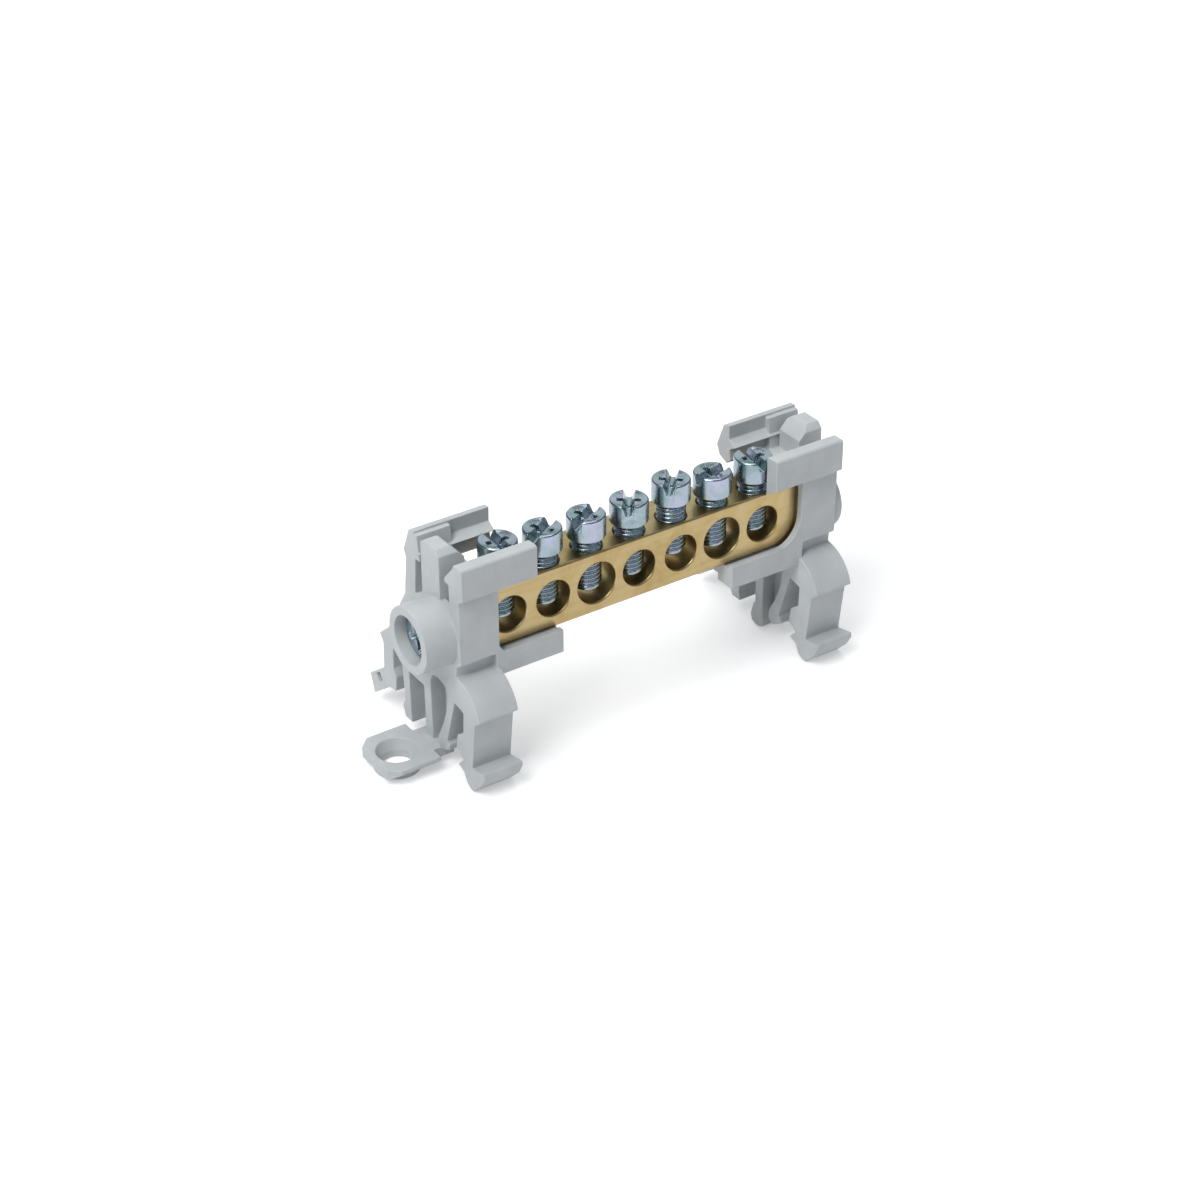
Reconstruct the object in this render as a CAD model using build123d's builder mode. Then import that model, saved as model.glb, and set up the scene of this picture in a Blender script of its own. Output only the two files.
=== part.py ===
from build123d import *
import os

# Power distribution block: a drilled and tapped brass bar between two moulded
# supports that clip over a 35 mm top-hat rail. X runs along the bar, -Y is the
# wire entry side and +Z points away from the rail. The origin is the middle of
# the rail seat, half way between the supports.

# Rail and where the bar stands over it
rail_width = 35.0
bar_axis_height = 27.8
bar_setback = 14.7

# Brass bar
bar_height = 18.0
bar_depth = 14.5
bar_edge = 0.4
bar_lower_edge = 1.0
bar_end_radius = 1.2
hole_count = 7
hole_pitch = 13.2
left_margin = 10.4
right_margin = 16.4
wire_hole_d = 10.0
large_hole_d = 11.6
large_holes = (2, 5)
hole_countersink = 0.35
screw_inset = 5.1

# Clamping screws
thread_d = 8.0
thread_fit = 0.05
screw_shank = 14.7
tip_chamfer = 0.8
head_d = 10.3
head_height = 6.4
head_edge = 0.6
head_lower_edge = 0.4
head_stand_off = 2.9
head_rim = 0.9
head_dish = 0.35
slot_mouth = 3.3
slot_floor = 1.8
slot_depth = 2.6
cross_width = 1.5
cross_length = 7.0
cross_depth = 2.2
cross_centre_d = 3.2
cross_centre_depth = 3.4
slot_run_out = 1.0
screw_raise = (1.2, 0.4, 0.0, 0.0, 1.8, -0.3, 0.2)
slot_turn = (87.0, 30.0, 28.0, 54.0, 49.0, 9.0, 83.0)

# End screws
end_thread_d = 6.0
end_screw_length = 12.0
end_head_d = 12.4
end_head_height = 4.0
end_cross_length = 8.4
end_cross_width = 1.9
end_cross_depth = 2.4
end_head_round = 1.2
tap_run_out = 0.6
end_screw_drop = 2.4

# Moulded supports
end_cover = 6.1
block_width = 11.7
web_thickness = 3.0
wall_cover = 2.7
lip_cover = 4.7
back_cover = 9.0
lip_rise = 20.5
lower_arm_depth = 6.0
upper_arm_length = 10.4
right_upper_shift = 1.3
left_lower_arm = 19.1
right_lower_arm = 22.6
left_window_radius = 3.0
right_window_radius = 8.5
bar_fit = 0.1
head_fit = 0.35
slot_cut = 3.6
rebate_width = 0.7
rebate_depth = 0.6
arm_step = 2.0
arm_front_depth = 6.4

# Boss round each end screw
boss_d = 18.2
boss_bore_d = 13.2
left_boss_reach = 9.1
right_boss_reach = 3.0
left_boss_recess = 6.8
right_boss_recess = 6.1

# Rail hooks and feet
hook_drop = 44.0
foot_drop = 39.8
rib_thickness = 3.4
leg_thickness = 5.2
right_foot_drop = 3.8
right_foot_width = 6.0
rear_tab_reach = 13.0
rear_tab_drop = 41.6

# Screw-down lug on the left support
lug_length = 17.0
lug_width = 18.2
lug_thickness = 3.2
lug_rise = 0.8
lug_neck = 2.2
lug_neck_width = 10.6
lug_hole_reach = 10.1
lug_hole_d = 8.1
lug_sink_d = 11.2
lug_sink_depth = 3.0
lug_collar_d = 12.6
lug_collar_drop = 1.8
lug_corner = 3.0
lug_front_edge = 1.2
lug_bevel = 2.3

# Places worked out from the sizes above
bar_length = (hole_count - 1) * hole_pitch + left_margin + right_margin
bar_front = -bar_setback
bar_back = bar_front + bar_depth
bar_top = bar_axis_height + bar_height / 2
bar_bottom = bar_axis_height - bar_height / 2
bar_end = bar_length / 2
screw_y = bar_front + screw_inset
outer_x = bar_end + end_cover
window_x = outer_x - block_width
boss_y = bar_front + bar_depth / 2
boss_z = bar_axis_height - end_screw_drop
left_seat_x = outer_x + left_boss_reach - left_boss_recess
right_seat_x = outer_x + right_boss_reach - right_boss_recess
front_wall = bar_front - wall_cover
front_lip = bar_front - lip_cover
back_wall = bar_back + back_cover
lip_top = bar_axis_height + lip_rise
lip_face = min(screw_y - head_d / 2 - head_fit, bar_front - bar_fit)
rail_front = -rail_width / 2
rail_back = rail_width / 2
foot_z = bar_axis_height - foot_drop
lug_top = foot_z + lug_rise
lug_y = rail_front + 16.8
hook_z = bar_axis_height - hook_drop
central_rib = rail_front + 15.6
hole_x = [-bar_end + left_margin + i * hole_pitch for i in range(hole_count)]


def block_face(points):
    """Closed outline in the YZ plane, added to the current sketch."""
    Polygon(*points, align=None)


def end_wall():
    """Outline of the wall that closes off the bar's end and carries hook and leg."""
    under_pillar = bar_bottom + 0.8
    return [
        (front_wall, bar_top + 2.5),
        (front_wall, under_pillar),
        (bar_front - 0.6, under_pillar - 1.4),
        (bar_front - 0.4, bar_bottom - 3.4),
        (rail_front + 3.9, 6.7),
        (rail_front + 7.1, 6.7),
        (rail_front + 7.9, 8.4),
        (rail_front + 9.2, 9.5),
        (rail_front + 11.9, 10.0),
        (rail_front + 14.5, 9.2),
        (central_rib, 7.2),
        (central_rib, 3.6),
        (rail_back - 5.2, 3.6),
        (rail_back - 0.4, 6.6),
        (rail_back + 1.5, 12.2),
        (back_wall + 0.4, bar_axis_height),
        (back_wall - 1.0, bar_top + 2.5),
    ]


def front_hook():
    """Fixed hook over the rail's front edge, with its round shoulder and pull lip."""
    shoulder_top = (bar_front - 0.4, bar_bottom - 3.4)
    shoulder_tip = (rail_front - 8.0, 6.9)
    with BuildLine() as outline:
        ThreePointArc(shoulder_top, (rail_front - 4.1, 12.8), shoulder_tip)
        Polyline(
            shoulder_tip,
            (rail_front - 5.5, 4.8),
            (rail_front - 3.8, -9.2),
            (rail_front - 9.3, -7.9),
            (rail_front - 9.6, -9.2),
            (rail_front - 7.8, -12.5),
            (rail_front - 4.4, hook_z + 0.3),
            (rail_front - 3.0, hook_z),
            (rail_front - 1.0, hook_z + 1.0),
            (rail_front + 0.3, -12.6),
            (rail_front + 3.1, -11.6),
            (rail_front + 0.5, -8.9),
            (rail_front + 3.8, -7.1),
            (rail_front + 3.1, -2.6),
            (rail_front, -0.2),
            (rail_front - 0.3, 5.8),
            (rail_front + 3.9, 6.7),
            (rail_front + 6.5, 10.0),
            (bar_front + 3.0, bar_bottom - 3.0),
            shoulder_top,
        )
    make_face(outline.edges())


def rear_leg():
    """Outline of the springy rear leg with its claw and release tab."""
    leg_outer = rail_back + leg_thickness
    return [
        (rail_back - 1.0, 11.0),
        (rail_back + 1.5, 12.2),
        (leg_outer + 1.3, 7.9),
        (leg_outer - 0.4, 5.9),
        (leg_outer, -2.5),
        (rail_back + rear_tab_reach, -8.2),
        (rail_back + rear_tab_reach - 1.8, bar_axis_height - rear_tab_drop),
        (rail_back + 3.2, -7.7),
        (rail_back + 1.4, -7.0),
        (rail_back - 0.8, -6.7),
        (rail_back - 1.3, -2.2),
        (rail_back, 0.2),
        (rail_back - 0.4, 6.6),
    ]


def slanted_rib():
    """Outline of the rib that leans from the body down to the middle foot."""
    return [
        (rail_front + 3.9, 6.7),
        (rail_front + 7.1, 8.0),
        (rail_front + 8.1, 2.0),
        (rail_front + 9.8, -2.6),
        (rail_front + 12.8, foot_z + 3.5),
        (rail_front + 12.7, foot_z + 1.1),
        (rail_front + 10.9, foot_z),
        (rail_front + 7.4, foot_z + 2.0),
        (rail_front + 7.2, foot_z + 3.6),
        (rail_front + 8.4, foot_z + 4.3),
    ]


def support(lower_arm_length, window_radius, boss_reach, boss_recess, upper_shift=0.0):
    """A support standing at the -X end of the bar, without its lug."""
    head_seat_x = outer_x + boss_reach - boss_recess
    upper_x = -outer_x - upper_shift
    rear_rib = rail_front + 26.8
    post_front = bar_front + 6.2
    post_back = bar_front + 14.9
    web_x = -outer_x + (block_width - web_thickness) / 2
    arm_end = -window_x + lower_arm_length
    arm_front = front_wall + arm_front_depth
    arm_back = bar_back + wall_cover + 1.0
    step_y = (arm_front + arm_back) / 2
    corner_z = bar_bottom + 0.5
    with BuildPart() as body:
        with BuildSketch(Plane.YZ.offset(-outer_x)):
            block_face(end_wall())
            front_hook()
            block_face(rear_leg())
            block_face(slanted_rib())
            with Locations((central_rib + rib_thickness / 2, (foot_z + 6.0) / 2)):
                Rectangle(rib_thickness, 6.0 - foot_z)
            block_face([
                (rear_rib, 6.0),
                (rear_rib + rib_thickness, 6.0),
                (rear_rib + rib_thickness - 0.6, foot_z + 5.5),
                (rear_rib + rib_thickness + 0.6, foot_z + 3.0),
                (rear_rib + rib_thickness - 0.6, foot_z),
                (rear_rib - 0.8, foot_z),
                (rear_rib - 0.4, foot_z + 3.0),
            ])
        extrude(amount=block_width)
        # Web that ties the foot ribs together in the middle of the width
        with BuildSketch(Plane.YZ.offset(web_x)):
            block_face([
                (rail_front + 7.0, 10.5),
                (rear_rib + 1.0, 10.5),
                (rear_rib + 1.0, foot_z + 5.5),
                (central_rib + rib_thickness, foot_z + 4.0),
                (central_rib + rib_thickness, foot_z + 1.7),
                (rail_front + 11.0, foot_z + 1.7),
            ])
        extrude(amount=web_thickness)
        # Upper lips run along the whole block and on as arms over the bar
        with BuildSketch(Plane.YZ.offset(-outer_x)):
            block_face([
                (front_lip, bar_top + 2.6),
                (front_lip, lip_top - 0.5),
                (front_lip + 0.5, lip_top),
                (lip_face - 0.3, lip_top - 0.2),
                (lip_face, lip_top - 1.2),
                (lip_face, bar_top + bar_fit),
                (bar_front - bar_fit, bar_top - 0.4),
                (front_wall, bar_top + 1.2),
            ])
        extrude(amount=block_width + upper_arm_length)
        with BuildSketch(Plane.YZ.offset(upper_x)):
            block_face([
                (back_wall - 2.9, lip_top - 0.4),
                (back_wall, bar_top + 4.2),
                (back_wall - 1.3, bar_top + 1.4),
                (bar_back + 4.4, bar_top + bar_fit),
                (bar_back + 2.7, bar_top + 1.6),
                (bar_back + 3.2, bar_top + 4.7),
                (bar_back + 0.7, bar_top + 6.2),
                (bar_back + 3.5, bar_top + 7.8),
                (bar_back + 3.4, lip_top + 0.4),
                (bar_back + 5.3, lip_top + 0.1),
            ])
        extrude(amount=block_width + upper_arm_length)
        # Beside the post the front lip has a barb and the back lip is solid
        with BuildSketch(Plane.YZ.offset(-outer_x)):
            block_face([
                (lip_face - 0.5, lip_top - 1.2),
                (lip_face, lip_top - 1.2),
                (bar_front + 3.8, bar_top + 5.6),
                (bar_front + 3.6, bar_top + 4.4),
                (bar_front + 1.8, bar_top + 4.0),
                (bar_front + 1.8, bar_top + 1.0),
                (lip_face - 0.5, bar_top + 1.0),
            ])
        extrude(amount=block_width - 1.6)
        with BuildSketch(Plane.YZ.offset(upper_x)):
            block_face([
                (bar_back + 0.9, bar_top + 3.4),
                (bar_back + 2.2, lip_top - 0.4),
                (bar_back + 5.0, lip_top - 0.4),
                (bar_back + 5.0, bar_top + 2.0),
                (bar_back + 0.9, bar_top + 2.0),
            ])
        extrude(amount=block_width - 1.6)
        # Post over the bar's end, its top falling towards the bar
        with BuildSketch(Plane.YZ.offset(upper_x)):
            block_face([
                (post_front, bar_top + 1.0),
                (post_front, lip_top - 1.6),
                (post_front + 1.6, lip_top),
                (post_back - 1.2, lip_top),
                (post_back, lip_top - 1.0),
                (post_back, bar_top + 1.0),
            ])
        extrude(amount=7.6)
        with BuildSketch(Plane.XZ.offset(-post_front + 1.0)):
            with BuildLine():
                Polyline(
                    (upper_x + 3.4, lip_top + 1.0),
                    (upper_x + 8.6, lip_top - 4.6),
                    (upper_x + 8.6, lip_top + 1.0),
                    close=True,
                )
            make_face()
        extrude(amount=-(post_back - post_front + 2.0), mode=Mode.SUBTRACT)
        # Lower arm: a shelf under the bar with a low lip along each side of it
        with BuildSketch(Plane.YZ.offset(-window_x - 1.0)):
            block_face([
                (front_wall, bar_bottom + 0.8),
                (bar_front - bar_fit, bar_bottom + 0.6),
                (bar_front - bar_fit, bar_bottom),
                (bar_back + bar_fit, bar_bottom),
                (bar_back + bar_fit, bar_bottom + 0.6),
                (bar_back + wall_cover, bar_bottom + 0.8),
                (bar_back + wall_cover, bar_bottom - lower_arm_depth),
                (front_wall, bar_bottom - lower_arm_depth),
            ])
        extrude(amount=lower_arm_length + 1.0)
        # The arm's end stands back behind its front part
        with Locations((arm_end - arm_step / 2, step_y, bar_bottom)):
            Box(arm_step, arm_back - arm_front, 2 * lower_arm_depth + 1.0, mode=Mode.SUBTRACT)
        # Seat for the bar's end
        with Locations((
            (-bar_end - bar_fit - window_x) / 2 + 5.0,
            (bar_front + bar_back) / 2,
            bar_axis_height + bar_fit / 2,
        )):
            Box(
                bar_end + bar_fit - window_x + 10.0,
                bar_depth + 2 * bar_fit,
                bar_height + bar_fit,
                mode=Mode.SUBTRACT,
            )
        # Round corner between the window's jamb and its sill
        for wall_y in (front_wall, bar_back + bar_fit):
            with BuildSketch(Plane.XZ.offset(-wall_y)):
                with BuildLine():
                    Line((-window_x, corner_z), (-window_x + window_radius, corner_z))
                    RadiusArc(
                        (-window_x + window_radius, corner_z),
                        (-window_x, corner_z + window_radius),
                        window_radius,
                    )
                    Line((-window_x, corner_z + window_radius), (-window_x, corner_z))
                make_face()
            extrude(amount=-(wall_cover - bar_fit))
        # Rebate that keeps the window's edge off the bar
        with Locations((
            (-window_x - rebate_depth + arm_end + 1.0) / 2,
            bar_front - (rebate_width + bar_fit) / 2,
            (bar_bottom - rebate_depth + bar_top - rebate_depth) / 2,
        )):
            Box(
                arm_end + 1.0 + window_x + rebate_depth,
                rebate_width - bar_fit,
                bar_height,
                mode=Mode.SUBTRACT,
            )
        # Slots either side of the post, seen on the end face
        with BuildSketch(Plane.YZ.offset(-outer_x)):
            block_face([
                (bar_back + 0.4, bar_top + 4.0),
                (bar_back + 0.4, bar_axis_height + 4.8),
                (bar_back + 4.0, bar_axis_height + 2.4),
                (bar_back + 3.2, bar_top + 4.0),
            ])
            block_face([
                (bar_front + 1.8, bar_top + 4.4),
                (bar_front + 1.8, bar_axis_height + 5.7),
                (bar_front + 3.5, bar_axis_height + 1.6),
                (post_front, bar_axis_height + 3.4),
                (post_front, bar_top + 4.4),
            ])
        extrude(amount=slot_cut, mode=Mode.SUBTRACT)
        # Pocket in the release tab
        with BuildSketch(Plane.YZ.offset(-outer_x)):
            with Locations((rail_back + 8.0, -7.0)):
                Rectangle(2.4, 2.4, rotation=-35)
        extrude(amount=3.0, mode=Mode.SUBTRACT)
        # Boss and the bore for the end screw
        with BuildSketch(Plane.YZ.offset(-outer_x - boss_reach)):
            with Locations((boss_y, boss_z)):
                Circle(boss_d / 2)
        extrude(amount=boss_reach + 2.0)
        with BuildSketch(Plane.YZ.offset(-outer_x - boss_reach)):
            with Locations((boss_y, boss_z)):
                Circle(boss_bore_d / 2)
        extrude(amount=boss_recess, mode=Mode.SUBTRACT)
        with BuildSketch(Plane.YZ.offset(-head_seat_x)):
            with Locations((boss_y, boss_z)):
                Circle(end_thread_d / 2 + thread_fit)
        extrude(amount=head_seat_x - bar_end + 1.0, mode=Mode.SUBTRACT)
    return body


# Terminal bar: wire holes through the front, tapped holes from the top and ends
with BuildPart() as terminal_bar:
    with Locations((0, (bar_front + bar_back) / 2, bar_axis_height)):
        Box(bar_length, bar_depth, bar_height)
    fillet(terminal_bar.edges().filter_by(Axis.Z), radius=bar_end_radius)
    chamfer(terminal_bar.faces().sort_by(Axis.Z)[-1].edges(), length=bar_edge)
    chamfer(terminal_bar.faces().sort_by(Axis.Z)[0].edges(), length=bar_lower_edge)
    for i, x in enumerate(hole_x):
        hole_d = large_hole_d if i in large_holes else wire_hole_d
        with Locations(Plane((x, bar_front, bar_axis_height), z_dir=(0, -1, 0))):
            CounterSinkHole(
                radius=hole_d / 2,
                counter_sink_radius=hole_d / 2 + hole_countersink,
                depth=bar_depth,
                counter_sink_angle=90,
            )
        with Locations(Plane((x, screw_y, bar_top), z_dir=(0, 0, 1))):
            CounterSinkHole(
                radius=thread_d / 2 + thread_fit,
                counter_sink_radius=thread_d / 2 + thread_fit + hole_countersink,
                depth=bar_height / 2,
                counter_sink_angle=90,
            )
    for end, seat_x in ((-1, left_seat_x), (1, right_seat_x)):
        tap_depth = end_screw_length - (seat_x - bar_end) + tap_run_out
        with Locations(Plane((end * bar_end, boss_y, boss_z), z_dir=(end, 0, 0))):
            Hole(radius=end_thread_d / 2 + thread_fit, depth=tap_depth)
terminal_bar.part.label = "terminal_bar"

# Left support, with the lug that screws it to a panel
with BuildPart() as left_support:
    add(support(left_lower_arm, left_window_radius, left_boss_reach, left_boss_recess).part)
    shoulder_x = -outer_x - lug_neck
    tip_x = -outer_x - lug_length
    with BuildSketch(Plane.XY.offset(lug_top - lug_thickness)):
        with BuildLine():
            Polyline(
                (-outer_x + 4.0, lug_y - lug_neck_width / 2),
                (shoulder_x, lug_y - lug_neck_width / 2),
                (shoulder_x, lug_y - lug_width / 2),
                (tip_x + lug_corner, lug_y - lug_width / 2),
                (tip_x, lug_y - lug_width / 2 + lug_corner),
                (tip_x, lug_y + lug_width / 2 - lug_corner),
                (tip_x + lug_corner, lug_y + lug_width / 2),
                (shoulder_x, lug_y + lug_width / 2),
                (shoulder_x, lug_y + lug_neck_width / 2),
                (-outer_x + 4.0, lug_y + lug_neck_width / 2),
                close=True,
            )
        make_face()
    extrude(amount=lug_thickness)
    # The lug's underside rises to a thin front edge
    with BuildSketch(Plane.YZ.offset(tip_x - 1.0)):
        block_face([
            (lug_y - lug_width / 2 - 1.0, lug_top - lug_front_edge),
            (lug_y - lug_width / 2, lug_top - lug_front_edge),
            (lug_y - lug_width / 2 + lug_bevel, lug_top - lug_thickness),
            (lug_y - lug_width / 2 + lug_bevel, lug_top - lug_thickness - 1.0),
            (lug_y - lug_width / 2 - 1.0, lug_top - lug_thickness - 1.0),
        ])
    extrude(amount=lug_length - lug_neck + 1.0, mode=Mode.SUBTRACT)
    # Collar under the lug, and the countersunk hole through both
    hole_centre = (-outer_x - lug_hole_reach, lug_y)
    with BuildSketch(Plane.XY.offset(lug_top - lug_thickness - lug_collar_drop)):
        with Locations(hole_centre):
            Circle(lug_collar_d / 2)
    extrude(amount=lug_collar_drop + 1.0)
    with BuildSketch(Plane.XY.offset(lug_top - lug_thickness - lug_collar_drop)):
        with Locations(hole_centre):
            Circle(lug_hole_d / 2)
    extrude(amount=lug_thickness + lug_collar_drop, mode=Mode.SUBTRACT)
    with Locations((*hole_centre, lug_top - lug_sink_depth / 2)):
        Cone(
            bottom_radius=lug_hole_d / 2,
            top_radius=lug_sink_d / 2,
            height=lug_sink_depth,
            mode=Mode.SUBTRACT,
        )
left_support.part.label = "left_support"

# Right support, the other hand and without a lug
with BuildPart() as right_support:
    plain_support = support(
        right_lower_arm,
        right_window_radius,
        right_boss_reach,
        right_boss_recess,
        upper_shift=right_upper_shift,
    )
    add(plain_support.part)
    foot_y = central_rib + rib_thickness / 2 + 0.6
    with BuildSketch(Plane.YZ.offset(-outer_x)):
        block_face([
            (foot_y - rib_thickness / 2, foot_z + 3.0),
            (foot_y - right_foot_width / 2, foot_z - right_foot_drop + 2.4),
            (foot_y - right_foot_width / 2 + 0.6, foot_z - right_foot_drop + 0.6),
            (foot_y - right_foot_width / 2 + 2.2, foot_z - right_foot_drop),
            (foot_y + right_foot_width / 2 - 2.2, foot_z - right_foot_drop),
            (foot_y + right_foot_width / 2 - 0.6, foot_z - right_foot_drop + 0.6),
            (foot_y + right_foot_width / 2, foot_z - right_foot_drop + 2.4),
            (foot_y + rib_thickness / 2, foot_z + 3.0),
        ])
    extrude(amount=block_width)
    mirror(about=Plane.YZ, mode=Mode.REPLACE)
right_support.part.label = "right_support"


def terminal_screw(x, rise, turn):
    """Clamping screw: cylinder head with a slot and a cross recess."""
    seat = bar_top + head_stand_off + rise
    top = seat + head_height
    with BuildPart() as screw:
        with BuildSketch(Plane.XY.offset(seat)):
            with Locations((x, screw_y)):
                Circle(head_d / 2)
        extrude(amount=head_height)
        fillet(screw.faces().sort_by(Axis.Z)[-1].edges(), radius=head_edge)
        chamfer(screw.faces().sort_by(Axis.Z)[0].edges(), length=head_lower_edge)
        with BuildSketch(Plane.XY.offset(seat - screw_shank)):
            with Locations((x, screw_y)):
                Circle(thread_d / 2)
        extrude(amount=screw_shank)
        chamfer(screw.faces().sort_by(Axis.Z)[0].edges(), length=tip_chamfer)
        with Locations((x, screw_y, top - head_dish / 2)):
            Cone(
                bottom_radius=head_d / 2 - head_rim - head_dish,
                top_radius=head_d / 2 - head_rim,
                height=head_dish,
                mode=Mode.SUBTRACT,
            )
        along = Vector(1, 0, 0).rotate(Axis.Z, turn)
        across = along.rotate(Axis.Z, 90)
        with BuildSketch(Plane((x, screw_y, top), x_dir=across, z_dir=along)):
            Polygon(
                (-slot_mouth / 2, slot_run_out),
                (-slot_mouth / 2, 0),
                (-slot_floor / 2, -slot_depth + slot_floor / 4),
                (-slot_floor / 4, -slot_depth),
                (slot_floor / 4, -slot_depth),
                (slot_floor / 2, -slot_depth + slot_floor / 4),
                (slot_mouth / 2, 0),
                (slot_mouth / 2, slot_run_out),
                align=None,
            )
        extrude(amount=head_d / 2 + slot_run_out, both=True, mode=Mode.SUBTRACT)
        with BuildSketch(Plane.XY.offset(top - cross_depth)):
            with Locations(Location((x, screw_y), turn)):
                Rectangle(cross_width, cross_length)
        extrude(amount=cross_depth, mode=Mode.SUBTRACT)
        with Locations((x, screw_y, top - cross_centre_depth / 2)):
            Cone(
                bottom_radius=cross_centre_d / 4,
                top_radius=cross_centre_d / 2,
                height=cross_centre_depth,
                mode=Mode.SUBTRACT,
            )
    return screw


terminal_screws = []
for i, x in enumerate(hole_x):
    screw = terminal_screw(x, screw_raise[i], slot_turn[i])
    screw.part.label = f"terminal_screw_{i + 1}"
    terminal_screws.append(screw)


def end_screw(head_seat_x):
    """Pan-head screw that holds a support on the bar's -X end."""
    with BuildPart() as screw:
        with BuildSketch(Plane.YZ.offset(-head_seat_x - end_head_height)):
            with Locations((boss_y, boss_z)):
                Circle(end_head_d / 2)
        extrude(amount=end_head_height)
        fillet(screw.faces().sort_by(Axis.X)[0].edges(), radius=end_head_round)
        with BuildSketch(Plane.YZ.offset(-head_seat_x)):
            with Locations((boss_y, boss_z)):
                Circle(end_thread_d / 2)
        extrude(amount=end_screw_length)
        with BuildSketch(Plane.YZ.offset(-head_seat_x - end_head_height)):
            with Locations((boss_y, boss_z)):
                Rectangle(end_cross_length, end_cross_width, rotation=20)
                Rectangle(end_cross_width, end_cross_length, rotation=20)
        extrude(amount=end_cross_depth, mode=Mode.SUBTRACT)
    return screw


with BuildPart() as end_screw_left:
    add(end_screw(left_seat_x).part)
end_screw_left.part.label = "end_screw_left"

with BuildPart() as end_screw_right:
    add(end_screw(right_seat_x).part)
    mirror(about=Plane.YZ, mode=Mode.REPLACE)
end_screw_right.part.label = "end_screw_right"

os.makedirs("parts", exist_ok=True)
for piece in [terminal_bar, left_support, right_support, end_screw_left, end_screw_right, *terminal_screws]:
    export_step(piece.part, f"parts/{piece.part.label}.step")
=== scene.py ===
import math

import bmesh
import bpy
from mathutils import Matrix, Vector


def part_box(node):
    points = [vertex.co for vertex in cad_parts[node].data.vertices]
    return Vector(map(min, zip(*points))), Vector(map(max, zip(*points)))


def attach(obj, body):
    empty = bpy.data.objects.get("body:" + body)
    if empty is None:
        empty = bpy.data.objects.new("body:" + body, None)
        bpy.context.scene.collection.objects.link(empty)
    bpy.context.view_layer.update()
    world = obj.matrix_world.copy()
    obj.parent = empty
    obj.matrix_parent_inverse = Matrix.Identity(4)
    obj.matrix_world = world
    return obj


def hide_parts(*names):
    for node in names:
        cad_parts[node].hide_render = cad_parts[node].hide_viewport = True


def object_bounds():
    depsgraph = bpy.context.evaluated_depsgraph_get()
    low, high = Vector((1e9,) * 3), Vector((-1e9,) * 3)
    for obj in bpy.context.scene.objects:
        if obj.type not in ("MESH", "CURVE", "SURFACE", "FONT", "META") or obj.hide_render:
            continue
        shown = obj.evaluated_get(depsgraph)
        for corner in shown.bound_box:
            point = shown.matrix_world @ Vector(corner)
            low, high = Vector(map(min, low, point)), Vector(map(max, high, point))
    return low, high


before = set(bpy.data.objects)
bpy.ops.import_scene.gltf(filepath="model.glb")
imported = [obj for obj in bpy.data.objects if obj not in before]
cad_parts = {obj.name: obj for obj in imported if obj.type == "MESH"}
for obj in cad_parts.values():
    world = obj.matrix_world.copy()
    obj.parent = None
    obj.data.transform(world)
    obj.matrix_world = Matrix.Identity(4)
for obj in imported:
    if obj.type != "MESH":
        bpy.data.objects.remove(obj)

# Power distribution block: a brass terminal bar with clamping screws, held
# between two moulded supports. Everything is in metres, in the frame of the
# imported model: X along the bar, -Y the wire entry side, +Z away from the rail.

MM = 0.001
TURN = 2 * math.pi
cad_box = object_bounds()

# Camera, as the photograph has it, with its lens and sensor in millimetres
VIEW_AZIMUTH = math.radians(-33.89)
VIEW_ELEVATION = math.radians(32.09)
VIEW_ROLL = math.radians(-0.25)
VIEW_AIM = Vector((-25.78, -30.13, 34.10)) * MM
VIEW_DISTANCE = 644.3 * MM
VIEW_LENS = 77.94
VIEW_SENSOR = 36.0

# Threads: outer diameter and pitch of each, and what both share, which is the depth
# in pitches, the turns over which it fades at each end, and the profile of one pitch
CLAMP_THREAD = (8.0 * MM, 1.25 * MM)
END_THREAD = (6.0 * MM, 1.0 * MM)
THREAD_DEPTH = 0.60
THREAD_TOP_FADE = 0.8
THREAD_TIP_FADE = 1.2
THREAD_FORM = (0.0, 0.08, 0.35, 0.72, 0.95, 1.0, 0.95, 0.72, 0.35, 0.08)

# Rounding of the moulded edges, of the bar's edges and of the screws' recesses
MOULD_ROUND = 0.28 * MM
BAR_ROUND = 0.12 * MM
CLAMP_HEAD_ROUND = 0.14 * MM
END_HEAD_ROUND = 0.12 * MM

# Angle in degrees over which an edge is shaded sharp
SHARP_MOULDED = 40.0
SHARP_SCREW = 38.0

# Corners this close, and faces this flat to each other in degrees, are joined up again
WELD = 0.002 * MM
FLAT = 0.6

# Clamping screws: sizes of the head and its recesses, and each slot's turn in degrees
HEAD_D = 10.3 * MM
HEAD_HEIGHT = 6.4 * MM
HEAD_EDGE = 0.6 * MM
HEAD_LOWER_EDGE = 0.5 * MM
HEAD_RIM = 0.9 * MM
HEAD_DISH = 0.35 * MM
SLOT_MOUTH = 3.3 * MM
SLOT_FLOOR = 1.8 * MM
SLOT_DEPTH = 2.6 * MM
SLOT_OVERRUN = 1.0 * MM
CROSS_WIDTH = 1.6 * MM
CROSS_LENGTH = 7.2 * MM
CROSS_DEPTH = 2.2 * MM
CENTRE_D = 3.2 * MM
CENTRE_DEPTH = 3.4 * MM
SLOT_TURN = (87.0, 30.0, 28.0, 54.0, 49.0, 9.0, 83.0)

# Share of a cross arm's length and width that is left at its floor
WEDGE_SHRINK = (0.62, 0.72)

# End screws: sizes of the head, the cross's length, width and depth, and its turn in degrees
END_HEAD_D = 12.4 * MM
END_HEAD_HEIGHT = 4.0 * MM
END_HEAD_EDGE = 1.2 * MM
END_CROSS = (8.4 * MM, 1.9 * MM, 2.4 * MM)
END_CROSS_TURN = 20.0

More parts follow.
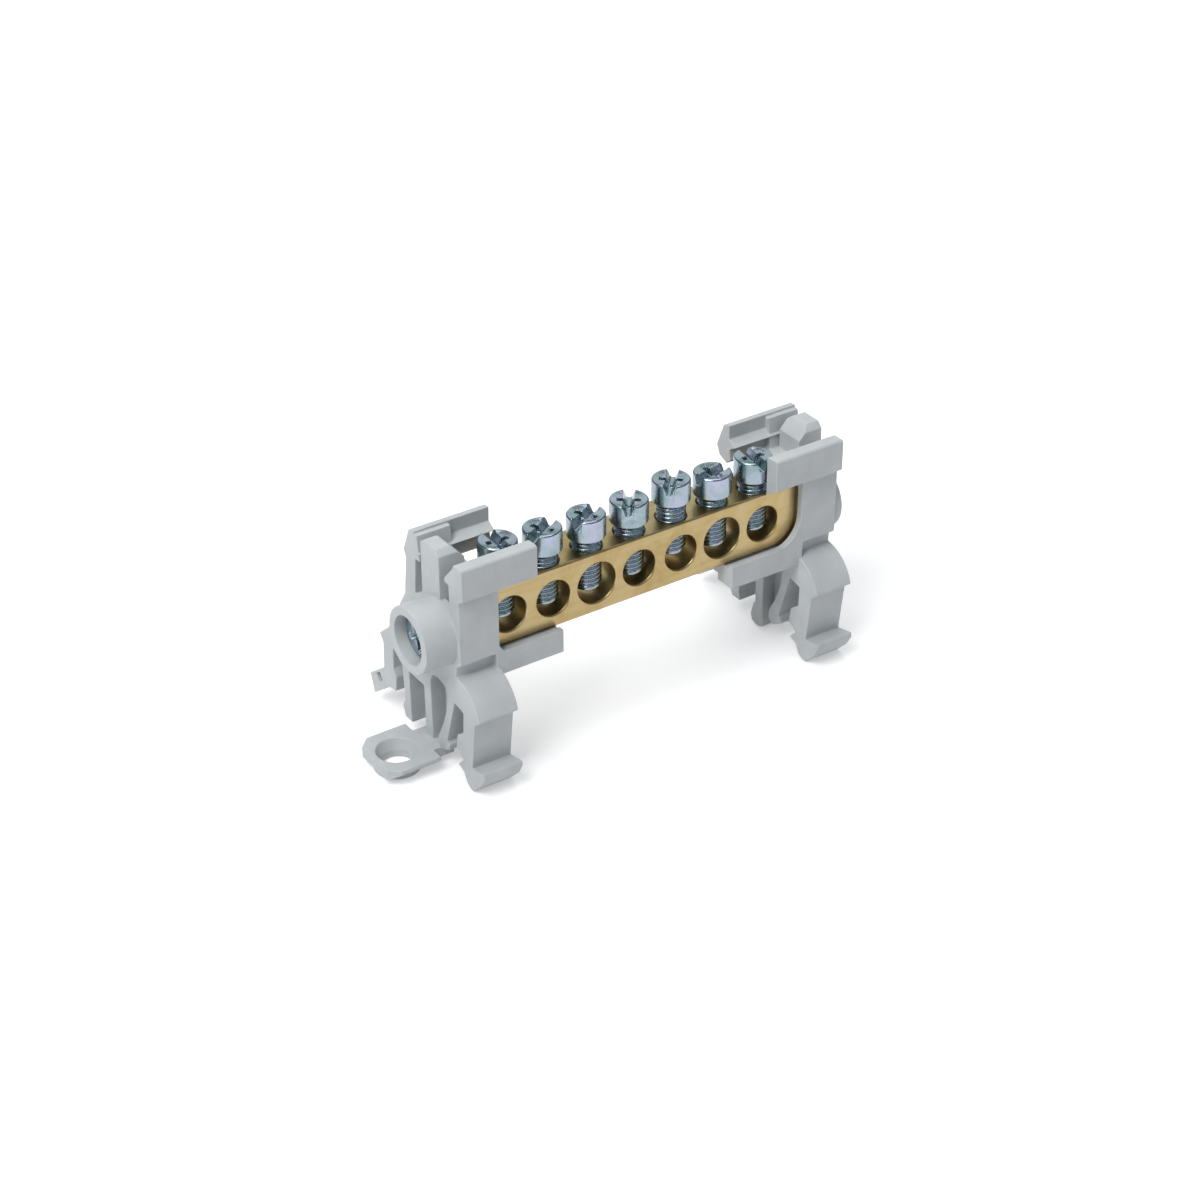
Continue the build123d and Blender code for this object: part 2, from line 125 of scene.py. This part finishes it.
# Number of flat sides that a turned form has
CLAMP_HEAD_SIDES = 72
END_HEAD_SIDES = 64
PIT_SIDES = 24
THREAD_SIDES = 48

# Floor: half its width, its gap under the object, and its glow as (distance, strength)
FLOOR_HALF = 3.0
FLOOR_GAP = 0.2 * MM
GLOW_NEAR = (0.10, 0.36)
GLOW_FAR = (0.30, 0.95)

# Studio: where the world is brightest, its colours from the dark side to the bright
# one, and the lamps with their place, size, watts and colour
WORLD_TOWARD = (-0.25, -0.85, -0.45)
WORLD_STOPS = (
    (0.0, (0.13, 0.14, 0.14)),
    (0.5, (0.27, 0.28, 0.30)),
    (1.0, (0.33, 0.34, 0.41)),
)
LAMP_AIM = (0.0, 0.0, 0.02)
LAMPS = (
    ("key", (-0.66, -0.25, 0.93), (0.6, 0.6), 9.4, (1.0, 1.0, 1.0)),
    ("top", (0.05, 0.15, 0.95), (0.8, 0.5), 3.3, (1.0, 1.0, 1.0)),
    ("back", (0.52, 0.77, 0.60), (1.2, 0.7), 2.4, (0.93, 1.0, 1.0)),
)


class Nodes:
    """Short way to add and link the nodes of a material."""

    def __init__(self, name):
        self.material = bpy.data.materials.new(name)
        self.material.use_nodes = True
        self.tree = self.material.node_tree
        self.tree.nodes.clear()
        self.out = self.add("ShaderNodeOutputMaterial")

    def add(self, kind, inputs=None, **settings):
        """Adds a node. Its inputs take values or links, and settings are its own properties."""
        node = self.tree.nodes.new(kind)
        for key, value in settings.items():
            setattr(node, key, value)
        for key, value in (inputs or {}).items():
            if isinstance(value, bpy.types.NodeSocket):
                self.tree.links.new(value, node.inputs[key])
            else:
                node.inputs[key].default_value = value
        return node

    def coordinates(self, scale=(1.0, 1.0, 1.0)):
        """Object coordinates, scaled along each axis."""
        place = self.add("ShaderNodeTexCoord").outputs["Object"]
        return self.add("ShaderNodeMapping", {"Vector": place, "Scale": scale}).outputs["Vector"]

    def noise(self, scale, detail=2.0, rough=0.5, stretch=(1.0, 1.0, 1.0), distortion=0.0):
        """Value of a noise, drawn out along an axis where its stretch is under 1."""
        return self.add("ShaderNodeTexNoise", {
            "Vector": self.coordinates(stretch),
            "Scale": scale,
            "Detail": detail,
            "Roughness": rough,
            "Distortion": distortion,
        }).outputs["Fac"]

    def ramp(self, value, *stops):
        """Colour of a value, between stops of (place, colour)."""
        node = self.add("ShaderNodeValToRGB", {"Fac": value})
        elements = node.color_ramp.elements
        while len(elements) < len(stops):
            elements.new(0.5)
        for element, (place, colour) in zip(elements, stops):
            element.position = place
            element.color = (*colour, 1.0)
        return node.outputs["Color"]

    def spread(self, value, low, high, start=0.0, end=1.0):
        """Value moved from the range start to end into the range low to high."""
        return self.add("ShaderNodeMapRange", {
            "Value": value,
            "From Min": start,
            "From Max": end,
            "To Min": low,
            "To Max": high,
        }).outputs["Result"]

    def mix(self, factor, first, second):
        """Mix of two colours. The node's sockets share names, so they are picked by number."""
        node = self.add("ShaderNodeMix", data_type="RGBA")
        for index, value in ((0, factor), (6, first), (7, second)):
            if isinstance(value, bpy.types.NodeSocket):
                self.tree.links.new(value, node.inputs[index])
            else:
                node.inputs[index].default_value = value
        return node.outputs[2]

    def bump(self, height, distance, strength=1.0, below=None):
        """Normal bent by a height, on top of the normal below it."""
        inputs = {"Height": height, "Distance": distance, "Strength": strength}
        if below is not None:
            inputs["Normal"] = below
        return self.add("ShaderNodeBump", inputs).outputs["Normal"]

    def finish(self, **inputs):
        """The material, with one Principled shader that has the given inputs."""
        named = {key.replace("_", " "): value for key, value in inputs.items()}
        shader = self.add("ShaderNodeBsdfPrincipled", named)
        self.tree.links.new(shader.outputs["BSDF"], self.out.inputs["Surface"])
        return self.material


def polyamide():
    """Light grey moulded polyamide: a soft satin skin, slightly mottled."""
    made = Nodes("polyamide")
    cloud = made.noise(160.0, detail=4.0)
    grain = made.noise(2600.0, detail=2.0)
    flow = made.noise(420.0, detail=3.0, stretch=(1.0, 1.0, 0.25))
    base = made.ramp(cloud, (0.30, (0.455, 0.480, 0.485)), (0.72, (0.520, 0.545, 0.548)))
    base = made.mix(made.spread(flow, 0.0, 0.20, 0.35, 0.75), base, (0.56, 0.585, 0.58, 1.0))
    rough = made.spread(grain, 0.40, 0.56)
    fine = made.bump(grain, 0.03 * MM, 0.35)
    soft = made.bump(flow, 0.08 * MM, 0.25, below=fine)
    return made.finish(
        Base_Color=base,
        Roughness=rough,
        Normal=soft,
        Subsurface_Weight=0.10,
        Subsurface_Radius=(1.0, 0.9, 0.8),
        Subsurface_Scale=1.4 * MM,
        Specular_IOR_Level=0.42,
    )


def brass():
    """Drawn and milled brass with fine marks along the bar and warm staining."""
    made = Nodes("brass")
    marks = made.noise(900.0, detail=3.0, stretch=(0.03, 1.0, 1.0))
    stain = made.noise(120.0, detail=4.0, rough=0.6, distortion=0.8)
    speck = made.noise(1500.0, detail=2.0)
    base = made.ramp(
        stain,
        (0.25, (0.355, 0.250, 0.095)),
        (0.50, (0.440, 0.335, 0.165)),
        (0.78, (0.455, 0.365, 0.200)),
    )
    base = made.mix(made.spread(marks, 0.0, 0.30, 0.45, 0.8), base, (0.31, 0.235, 0.105, 1.0))
    rough = made.spread(marks, 0.24, 0.42)
    lines = made.bump(marks, 0.03 * MM, 0.35)
    pits = made.bump(speck, 0.02 * MM, 0.25, below=lines)
    return made.finish(Base_Color=base, Metallic=1.0, Roughness=rough, Normal=pits)


def blue_zinc():
    """Blue passivated zinc plate: teal, blue and lavender tints over bright steel."""
    made = Nodes("blue_zinc")
    tint = made.noise(230.0, detail=3.0, distortion=0.6)
    marks = made.noise(1300.0, detail=2.0)
    base = made.ramp(
        tint,
        (0.28, (0.215, 0.310, 0.320)),
        (0.50, (0.310, 0.380, 0.420)),
        (0.70, (0.390, 0.415, 0.525)),
    )
    rough = made.spread(marks, 0.16, 0.34)
    fine = made.bump(marks, 0.02 * MM, 0.3)
    return made.finish(Base_Color=base, Metallic=1.0, Roughness=rough, Normal=fine)


def new_piece(name, mesh, material, slot, *nodes):
    """Links a mesh as a piece that stands for CAD nodes and rides with them."""
    piece = bpy.data.objects.new(name, mesh)
    bpy.context.scene.collection.objects.link(piece)
    piece.data.materials.clear()
    piece.data.materials.append(material)
    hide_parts(*nodes)
    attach(piece, "root")
    return piece


def apply_modifiers(piece):
    """Puts the result of a piece's modifiers in its mesh."""
    graph = bpy.context.evaluated_depsgraph_get()
    mesh = bpy.data.meshes.new_from_object(piece.evaluated_get(graph))
    piece.modifiers.clear()
    piece.data = mesh


def clean_copy(node):
    """A CAD node's mesh with its flat faces joined up again."""
    work = bmesh.new()
    work.from_mesh(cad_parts[node].data)
    bmesh.ops.remove_doubles(work, verts=work.verts, dist=WELD)
    bmesh.ops.dissolve_limit(
        work,
        angle_limit=math.radians(FLAT),
        verts=work.verts,
        edges=work.edges,
    )
    mesh = bpy.data.meshes.new(node + "_form")
    work.to_mesh(mesh)
    work.free()
    return mesh


def round_edges(piece, width, segments, over_angle):
    """Rounds every edge sharper than an angle."""
    bevel = piece.modifiers.new("rounding", "BEVEL")
    bevel.width = width
    bevel.segments = segments
    bevel.limit_method = "ANGLE"
    bevel.angle_limit = math.radians(over_angle)
    bevel.use_clamp_overlap = False
    bevel.miter_outer = "MITER_ARC"
    apply_modifiers(piece)
    piece.data.shade_smooth()
    shade = piece.modifiers.new("shading", "WEIGHTED_NORMAL")
    shade.keep_sharp = True
    piece.data.set_sharp_from_angle(angle=math.radians(SHARP_MOULDED))
    apply_modifiers(piece)


def revolved(profile, steps):
    """Closed mesh of a profile of (radius, height) turned about Z."""
    work = bmesh.new()
    rings = []
    for radius, height in profile:
        if radius < 1e-9:
            rings.append([work.verts.new((0, 0, height))])
            continue
        angles = [TURN * i / steps for i in range(steps)]
        rings.append([
            work.verts.new((radius * math.cos(angle), radius * math.sin(angle), height))
            for angle in angles
        ])
    for lower, upper in zip(rings, rings[1:]):
        for i in range(steps):
            j = (i + 1) % steps
            corners = [
                lower[i % len(lower)],
                lower[j % len(lower)],
                upper[j % len(upper)],
                upper[i % len(upper)],
            ]
            work.faces.new(list(dict.fromkeys(corners)))
    bmesh.ops.recalc_face_normals(work, faces=work.faces)
    return work


def threaded_shank(outer_d, pitch, length, steps=THREAD_SIDES):
    """Shank with a helical thread, from z = -length up to z = 0."""
    crest = outer_d / 2
    root = crest - THREAD_DEPTH * pitch
    stations = len(THREAD_FORM)
    rows = int(round(length / pitch * stations))
    work = bmesh.new()
    rings = []
    for row in range(rows + 1):
        z = -length * row / rows
        fade = min(1.0, row / (THREAD_TOP_FADE * stations), (rows - row) / (THREAD_TIP_FADE * stations))
        ring = []
        for i in range(steps):
            phase = (row / stations + i / steps) % 1.0 * stations
            low = int(phase) % stations
            part = phase - int(phase)
            height = THREAD_FORM[low] * (1 - part) + THREAD_FORM[(low + 1) % stations] * part
            radius = root + (crest - root) * height * fade
            angle = TURN * i / steps
            ring.append(work.verts.new((radius * math.cos(angle), radius * math.sin(angle), z)))
        rings.append(ring)
    for upper, lower in zip(rings, rings[1:]):
        for i in range(steps):
            j = (i + 1) % steps
            work.faces.new((upper[i], upper[j], lower[j], lower[i]))
    work.faces.new(rings[0])
    work.faces.new(list(reversed(rings[-1])))
    bmesh.ops.recalc_face_normals(work, faces=work.faces)
    return work


def head_profile(diameter, height, edge, rim=0.0, dish=0.0, arc_steps=6):
    """Profile of a cylinder head: broken lower edge, round upper one and, if asked, a dished top."""
    radius = diameter / 2
    lower = HEAD_LOWER_EDGE
    points = [(0.0, 0.0), (radius - lower, 0.0), (radius - 0.3 * lower, 0.3 * lower), (radius, lower)]
    for i in range(arc_steps + 1):
        angle = TURN / 4 * i / arc_steps
        points.append((radius - edge + edge * math.cos(angle), height - edge + edge * math.sin(angle)))
    if dish > 0.0:
        points.append((radius - rim, height))
        points.append((radius - rim - 1.5 * dish, height - dish))
    points.append((0.0, height - dish))
    return points


def prism(section, length, top, turn):
    """A bar of the given (across, depth) section, hung at a height and turned about Z."""
    work = bmesh.new()
    ends = [
        [work.verts.new((x, across, top - depth)) for across, depth in section]
        for x in (-length / 2, length / 2)
    ]
    work.faces.new(ends[0])
    work.faces.new(ends[1])
    for i in range(len(section)):
        j = (i + 1) % len(section)
        work.faces.new((ends[0][i], ends[0][j], ends[1][j], ends[1][i]))
    bmesh.ops.recalc_face_normals(work, faces=work.faces)
    bmesh.ops.rotate(work, matrix=Matrix.Rotation(turn, 3, "Z"), verts=work.verts)
    return work


def slot_section(mouth, floor_width, depth, steps=6):
    """Section of a slot with sloping sides and a round floor."""
    over = 1.0 * MM
    half = floor_width / 2
    points = [(-mouth / 2, -over), (-mouth / 2, 0.0)]
    for i in range(steps + 1):
        angle = TURN / 2 * i / steps
        points.append((-half * math.cos(angle), depth - half + half * math.sin(angle)))
    return points + [(mouth / 2, 0.0), (mouth / 2, -over)]


def wedge(length, width, depth, top, turn):
    """One arm of a cross recess, narrowing downwards in both directions."""
    work = bmesh.new()
    bmesh.ops.create_cube(work, size=1.0)
    over = 0.6 * MM
    for vert in work.verts:
        low = vert.co.z < 0
        vert.co = Vector((
            vert.co.x * length * (WEDGE_SHRINK[0] if low else 1.0),
            vert.co.y * width * (WEDGE_SHRINK[1] if low else 1.0),
            top - depth if low else top + over,
        ))
    bmesh.ops.rotate(work, matrix=Matrix.Rotation(turn, 3, "Z"), verts=work.verts)
    return work


def centre_pit(diameter, depth, top):
    """The deep middle of a cross recess."""
    over = 0.3 * MM
    floor_radius = diameter / 4
    mouth_radius = diameter / 2
    profile = [
        (0.0, top - depth),
        (floor_radius, top - depth),
        (mouth_radius, top + over),
        (0.0, top + over),
    ]
    return revolved(profile, PIT_SIDES)


def to_object(work, name):
    """Turns a finished bmesh into an object in the scene."""
    mesh = bpy.data.meshes.new(name)
    work.to_mesh(mesh)
    work.free()
    thing = bpy.data.objects.new(name, mesh)
    bpy.context.scene.collection.objects.link(thing)
    return thing


def cut_away(target, tools):
    """Cuts each tool out of the target and deletes the tools."""
    for tool in tools:
        cut = target.modifiers.new("cut", "BOOLEAN")
        cut.operation = "DIFFERENCE"
        cut.solver = "EXACT"
        cut.object = tool
    apply_modifiers(target)
    for tool in tools:
        bpy.data.objects.remove(tool)


def screw_mesh(name, head, shank, place):
    """Joins a finished head with its threaded shank and moves both into place."""
    work = bmesh.new()
    work.from_mesh(head.data)
    bpy.data.objects.remove(head)
    thread = bpy.data.meshes.new(name + "_thread")
    shank.to_mesh(thread)
    shank.free()
    work.from_mesh(thread)
    bmesh.ops.transform(work, matrix=place, verts=work.verts)
    mesh = bpy.data.meshes.new(name)
    work.to_mesh(mesh)
    work.free()
    mesh.shade_smooth()
    mesh.set_sharp_from_angle(angle=math.radians(SHARP_SCREW))
    return mesh


def clamp_screw(index, material):
    """Cylinder-head clamping screw with a slot and a cross recess."""
    node = f"terminal_screw_{index + 1}"
    low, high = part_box(node)
    centre = (Vector(low) + Vector(high)) / 2
    turn = math.radians(SLOT_TURN[index])
    profile = head_profile(HEAD_D, HEAD_HEIGHT, HEAD_EDGE, HEAD_RIM, HEAD_DISH)
    head = to_object(revolved(profile, CLAMP_HEAD_SIDES), node + "_head")
    slot = slot_section(SLOT_MOUTH, SLOT_FLOOR, SLOT_DEPTH)
    cut_away(head, [
        to_object(prism(slot, HEAD_D + SLOT_OVERRUN, HEAD_HEIGHT, turn), "slot"),
        to_object(wedge(CROSS_LENGTH, CROSS_WIDTH, CROSS_DEPTH, HEAD_HEIGHT, turn + TURN / 4), "cross"),
        to_object(centre_pit(CENTRE_D, CENTRE_DEPTH, HEAD_HEIGHT), "pit"),
    ])
    round_edges(head, CLAMP_HEAD_ROUND, segments=2, over_angle=35)
    shank_length = high[2] - low[2] - HEAD_HEIGHT
    shank = threaded_shank(*CLAMP_THREAD, shank_length)
    seat = Matrix.Translation((centre.x, centre.y, high[2] - HEAD_HEIGHT))
    mesh = screw_mesh(f"clamp_screw_{index + 1}", head, shank, seat)
    new_piece(f"clamp_screw_{index + 1}", mesh, material, "zinc_steel", node)


def end_screw(side, material):
    """Pan-head screw down the boss of a support."""
    node = "end_screw_" + side
    low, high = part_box(node)
    centre = (Vector(low) + Vector(high)) / 2
    outward = -1.0 if side == "left" else 1.0
    head_end = low[0] if outward < 0 else high[0]
    profile = head_profile(END_HEAD_D, END_HEAD_HEIGHT, END_HEAD_EDGE)
    head = to_object(revolved(profile, END_HEAD_SIDES), node + "_head")
    turn = math.radians(END_CROSS_TURN)
    cut_away(head, [
        to_object(wedge(*END_CROSS, END_HEAD_HEIGHT, turn), "cross_a"),
        to_object(wedge(*END_CROSS, END_HEAD_HEIGHT, turn + TURN / 4), "cross_b"),
        to_object(centre_pit(CENTRE_D, CENTRE_DEPTH, END_HEAD_HEIGHT), "pit"),
    ])
    round_edges(head, END_HEAD_ROUND, segments=2, over_angle=35)
    shank = threaded_shank(*END_THREAD, high[0] - low[0] - END_HEAD_HEIGHT)
    face = Matrix.Rotation(outward * TURN / 4, 4, "Y")
    seat = Matrix.Translation((head_end - outward * END_HEAD_HEIGHT, centre.y, centre.z))
    mesh = screw_mesh(f"boss_screw_{side}", head, shank, seat @ face)
    new_piece(f"boss_screw_{side}", mesh, material, "zinc_steel", node)


def moulding(side, material):
    """A support, from its CAD form, with the soft edges of a moulding."""
    node = side + "_support"
    piece = new_piece(side + "_moulding", clean_copy(node), material, "grey_polyamide", node)
    round_edges(piece, MOULD_ROUND, segments=2, over_angle=25)


def bar(material):
    """The brass bar, from its CAD form, with its arrises broken."""
    piece = new_piece("brass_bar", clean_copy("terminal_bar"), material, "brass", "terminal_bar")
    round_edges(piece, BAR_ROUND, segments=2, over_angle=25)


def floor():
    """Pale floor that shows as the studio's white, whiter further out, and keeps the shadow."""
    made = Nodes("studio_floor")
    path = made.add("ShaderNodeLightPath").outputs
    seen = path["Is Camera Ray"]
    for ray in ("Is Glossy Ray", "Is Transmission Ray"):
        seen = made.add("ShaderNodeMath", {0: seen, 1: path[ray]}, operation="MAXIMUM").outputs[0]
    mottle = made.noise(6.0, detail=2.0)
    shade = made.add("ShaderNodeBsdfDiffuse", {
        "Color": made.ramp(mottle, (0.3, (0.80, 0.80, 0.80)), (0.7, (0.82, 0.82, 0.82))),
    })
    place = made.add("ShaderNodeTexCoord").outputs["Object"]
    distance = made.add("ShaderNodeVectorMath", {0: place}, operation="LENGTH").outputs["Value"]
    strength = made.spread(distance, GLOW_NEAR[1], GLOW_FAR[1], GLOW_NEAR[0], GLOW_FAR[0])
    glow = made.add("ShaderNodeEmission", {
        "Color": (1.0, 1.0, 1.0, 1.0),
        "Strength": made.add("ShaderNodeMath", {0: seen, 1: strength}, operation="MULTIPLY").outputs[0],
    })
    both = made.add("ShaderNodeAddShader")
    made.tree.links.new(shade.outputs[0], both.inputs[0])
    made.tree.links.new(glow.outputs[0], both.inputs[1])
    made.tree.links.new(both.outputs[0], made.out.inputs["Surface"])
    height = cad_box[0][2] - FLOOR_GAP
    corners = ((-1, -1), (1, -1), (1, 1), (-1, 1))
    work = bmesh.new()
    work.faces.new([work.verts.new((x * FLOOR_HALF, y * FLOOR_HALF, height)) for x, y in corners])
    plane = to_object(work, "floor")
    plane.data.materials.append(made.material)


def area_lamp(name, place, aim, size, watts, colour):
    """Rectangular lamp at a place, turned towards its aim."""
    data = bpy.data.lights.new(name, "AREA")
    data.shape = "RECTANGLE"
    data.size, data.size_y = size
    data.energy = watts
    data.color = colour
    lamp = bpy.data.objects.new(name, data)
    lamp.location = place
    lamp.rotation_euler = (Vector(aim) - Vector(place)).to_track_quat("-Z", "Y").to_euler()
    bpy.context.scene.collection.objects.link(lamp)


def studio():
    """World and lamps: a key from the upper left, a soft top lamp and a wide dim one behind."""
    world = bpy.data.worlds.new("studio")
    bpy.context.scene.world = world
    world.use_nodes = True
    tree = world.node_tree
    direction = tree.nodes.new("ShaderNodeTexCoord")
    toward = tree.nodes.new("ShaderNodeVectorMath")
    toward.operation = "DOT_PRODUCT"
    toward.inputs[1].default_value = WORLD_TOWARD
    spread = tree.nodes.new("ShaderNodeMapRange")
    spread.inputs["From Min"].default_value = -1.0
    ramp = tree.nodes.new("ShaderNodeValToRGB")
    ramp.color_ramp.elements.new(0.5)
    for element, (position, colour) in zip(ramp.color_ramp.elements, WORLD_STOPS):
        element.position = position
        element.color = (*colour, 1.0)
    tree.links.new(direction.outputs["Generated"], toward.inputs[0])
    tree.links.new(toward.outputs["Value"], spread.inputs["Value"])
    tree.links.new(spread.outputs["Result"], ramp.inputs["Fac"])
    tree.links.new(ramp.outputs["Color"], tree.nodes["Background"].inputs["Color"])
    tree.nodes["Background"].inputs["Strength"].default_value = 1.0
    for name, place, size, watts, colour in LAMPS:
        area_lamp(name, place, LAMP_AIM, size, watts, colour)


def camera():
    """Camera at the photograph's angle."""
    back = Vector((
        math.sin(VIEW_AZIMUTH) * math.cos(VIEW_ELEVATION),
        -math.cos(VIEW_AZIMUTH) * math.cos(VIEW_ELEVATION),
        math.sin(VIEW_ELEVATION),
    ))
    side = Vector((math.cos(VIEW_AZIMUTH), math.sin(VIEW_AZIMUTH), 0.0))
    up = back.cross(side)
    right = side * math.cos(VIEW_ROLL) + up * math.sin(VIEW_ROLL)
    up = back.cross(right)
    data = bpy.data.cameras.new("camera")
    data.lens = VIEW_LENS
    data.sensor_width = VIEW_SENSOR
    eye = bpy.data.objects.new("camera", data)
    axes = Matrix((right, up, back)).transposed().to_4x4()
    eye.matrix_world = Matrix.Translation(VIEW_AIM + back * VIEW_DISTANCE) @ axes
    bpy.context.scene.collection.objects.link(eye)
    bpy.context.scene.camera = eye


camera()
studio()
floor()
grey = polyamide()
moulding("left", grey)
moulding("right", grey)
bar(brass())
plated = blue_zinc()
for index in range(len(SLOT_TURN)):
    clamp_screw(index, plated)
for side in ("left", "right"):
    end_screw(side, plated)

bpy.context.scene.view_settings.view_transform = "Standard"
